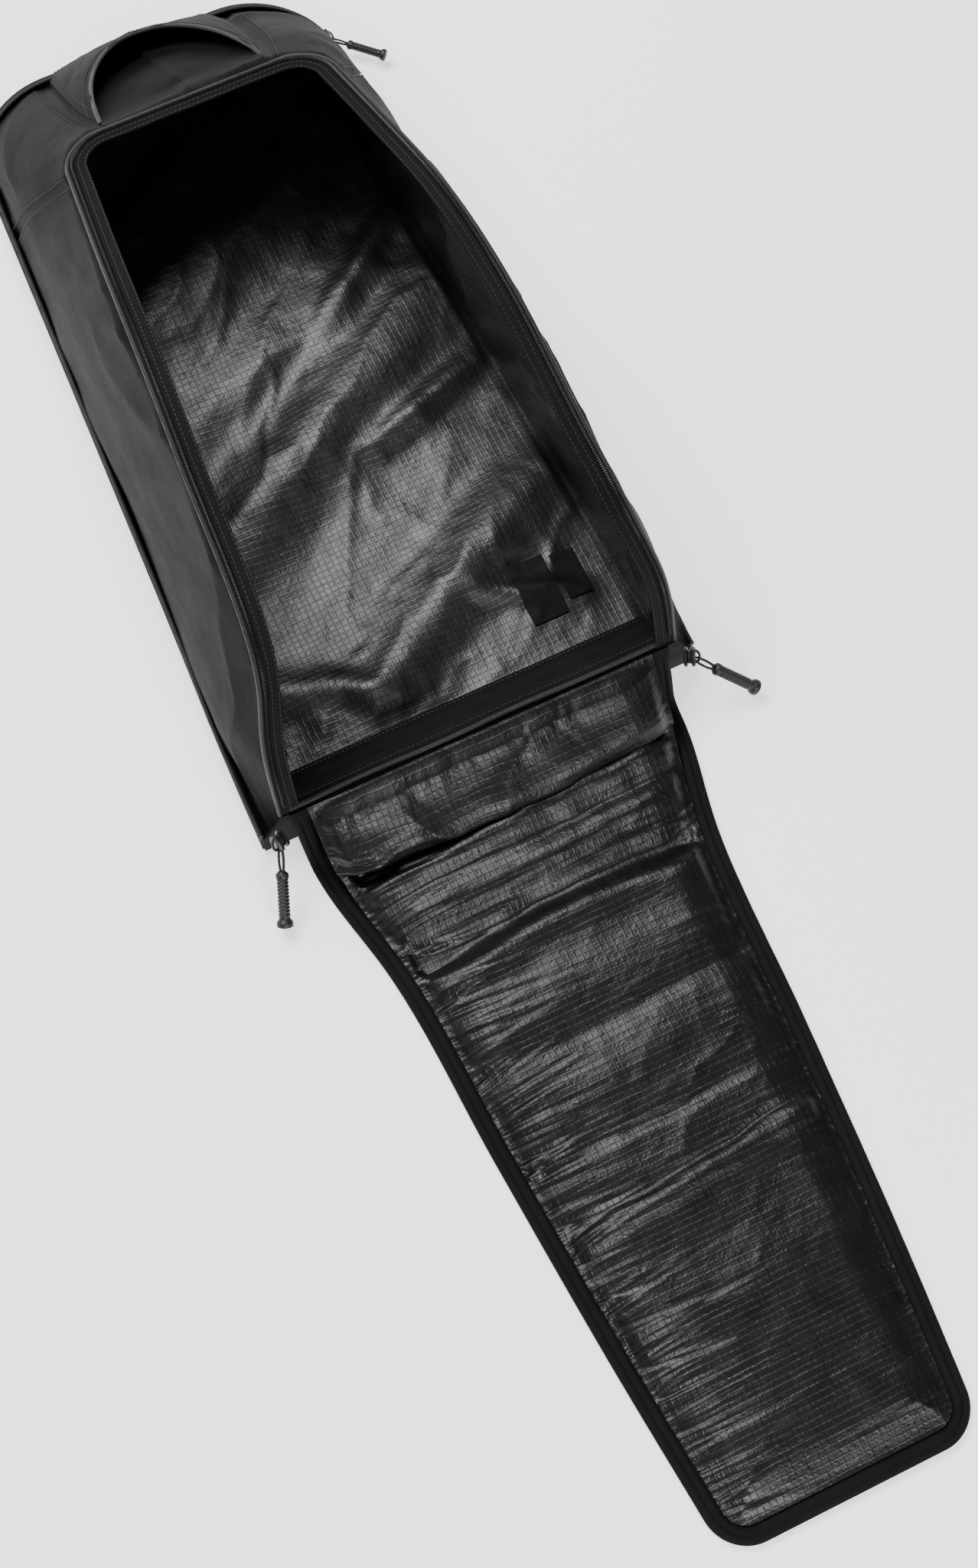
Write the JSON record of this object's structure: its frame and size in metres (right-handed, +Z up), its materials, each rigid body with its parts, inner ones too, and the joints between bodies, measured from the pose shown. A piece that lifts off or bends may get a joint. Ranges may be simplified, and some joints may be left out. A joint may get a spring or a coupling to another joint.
{
  "type": "ski boot bag",
  "caption": "Padded boot bag for skiing, lying on its back with its full-length front flap unzipped and folded out flat from the foot end.",
  "frame": {"origin": "centre of the flat back face that the bag lies on", "axes": "+Z up out of the back, +Y towards the end with the grab handle, the open flap lies towards -Y"},
  "size_m": [0.3643, 1.1348, 0.231],
  "materials": {
    "coated_shell": "matte coated charcoal weave",
    "binding_tape": "matte woven tape",
    "ripstop_liner": "glossy ripstop",
    "padding_foam": "closed-cell foam",
    "zip_coil": "satin black coil",
    "slider_metal": "satin black",
    "moulded_pull": "matte black",
    "woven_label": "smooth woven"
  },
  "bodies": {
    "bag": {"back_panel": "coated_shell", "back_foam": "padding_foam", "back_liner": "ripstop_liner", "rear_zip_tape": "binding_tape", "rear_zip_coil": "zip_coil", "left_side_panel": "coated_shell", "left_shoulder_panel": "coated_shell", "left_foam": "padding_foam", "left_liner": "ripstop_liner", "right_side_panel": "coated_shell", "right_shoulder_panel": "coated_shell", "right_foam": "padding_foam", "right_liner": "ripstop_liner", "handle_panel": "coated_shell", "head_foam": "padding_foam", "head_liner": "ripstop_liner", "base_panel": "coated_shell", "base_foam": "padding_foam", "base_liner": "ripstop_liner", "hinge_band": "binding_tape", "hinge_welt": "binding_tape", "zip_tape": "binding_tape", "zip_coil": "zip_coil", "handle": "coated_shell", "care_label": "woven_label", "size_label": "woven_label", "inner_pocket": "ripstop_liner", "key_loop": "binding_tape"},
    "flap_sill": {"flap_sill_shell": "coated_shell", "flap_sill_padding": "padding_foam", "flap_sill_liner": "ripstop_liner", "flap_sill_border_left": "binding_tape", "flap_sill_border_right": "binding_tape"},
    "flap_base": {"flap_base_shell": "coated_shell", "flap_base_padding": "padding_foam", "flap_base_liner": "ripstop_liner", "flap_base_border_left": "binding_tape", "flap_base_border_right": "binding_tape"},
    "flap_front": {"flap_front_shell": "coated_shell", "flap_front_padding": "padding_foam", "flap_front_liner": "ripstop_liner", "flap_front_border_left": "binding_tape", "flap_front_border_right": "binding_tape"},
    "flap_top": {"flap_top_shell": "coated_shell", "flap_top_padding": "padding_foam", "flap_top_liner": "ripstop_liner", "flap_top_border": "binding_tape"},
    "left_slider": {"left_slider": "slider_metal"},
    "left_pull": {"left_pull_loop": "moulded_pull", "left_pull": "moulded_pull"},
    "right_slider": {"right_slider": "slider_metal"},
    "right_pull": {"right_pull_loop": "moulded_pull", "right_pull": "moulded_pull"},
    "rear_slider": {"rear_slider": "slider_metal"},
    "rear_pull": {"rear_pull_loop": "moulded_pull", "rear_pull": "moulded_pull"}
  },
  "joints": [
    {"name": "flap_hinge", "type": "hinge", "parent": "bag", "child": "flap_sill", "pos_m": [0, -0.30234, 0.05254], "axis": [-1, 0, 0], "range_deg": [0, 164.82]},
    {"name": "sill_fold", "type": "hinge", "parent": "flap_sill", "child": "flap_base", "pos_m": [0, -0.327, 0.0065], "axis": [-1, 0, 0], "range_deg": [-50.82, 0]},
    {"name": "base_fold", "type": "hinge", "parent": "flap_base", "child": "flap_front", "pos_m": [0, -0.41635, 0.0065], "axis": [-1, 0, 0], "range_deg": [0, 50]},
    {"name": "front_fold", "type": "hinge", "parent": "flap_front", "child": "flap_top", "pos_m": [0, -0.61825, 0.0065], "axis": [-1, 0, 0], "range_deg": [0, 36]},
    {"name": "left_slider_travel", "type": "slide", "parent": "bag", "child": "left_slider", "axis": [-0.0317, 0.372, 0.9277], "range_m": [0, 0.05]},
    {"name": "left_pull_swing", "type": "hinge", "parent": "left_slider", "child": "left_pull", "pos_m": [-0.15076, -0.31914, 0.03589], "axis": [-0.9326, 0.361, 0], "range_deg": [0, 100]},
    {"name": "right_slider_travel", "type": "slide", "parent": "bag", "child": "right_slider", "axis": [0.0317, 0.372, 0.9277], "range_m": [0, 0.05]},
    {"name": "right_pull_swing", "type": "hinge", "parent": "right_slider", "child": "right_pull", "pos_m": [0.15416, -0.3165, 0.03585], "axis": [-0.5903, -0.8072, 0], "range_deg": [0, 100]},
    {"name": "rear_slider_travel", "type": "slide", "parent": "bag", "child": "rear_slider", "axis": [0.0433, -0.9991, 0], "range_m": [0, 0.42]},
    {"name": "rear_pull_swing", "type": "hinge", "parent": "rear_slider", "child": "rear_pull", "pos_m": [0.14353, 0.24908, 0.01085], "axis": [-0.6919, -0.722, 0], "range_deg": [0, 80]}
  ],
  "couplings": [
    {"joint": "sill_fold", "follows": "flap_hinge", "ratio": -0.30834},
    {"joint": "base_fold", "follows": "flap_hinge", "ratio": 0.30336},
    {"joint": "front_fold", "follows": "flap_hinge", "ratio": 0.21842}
  ]
}
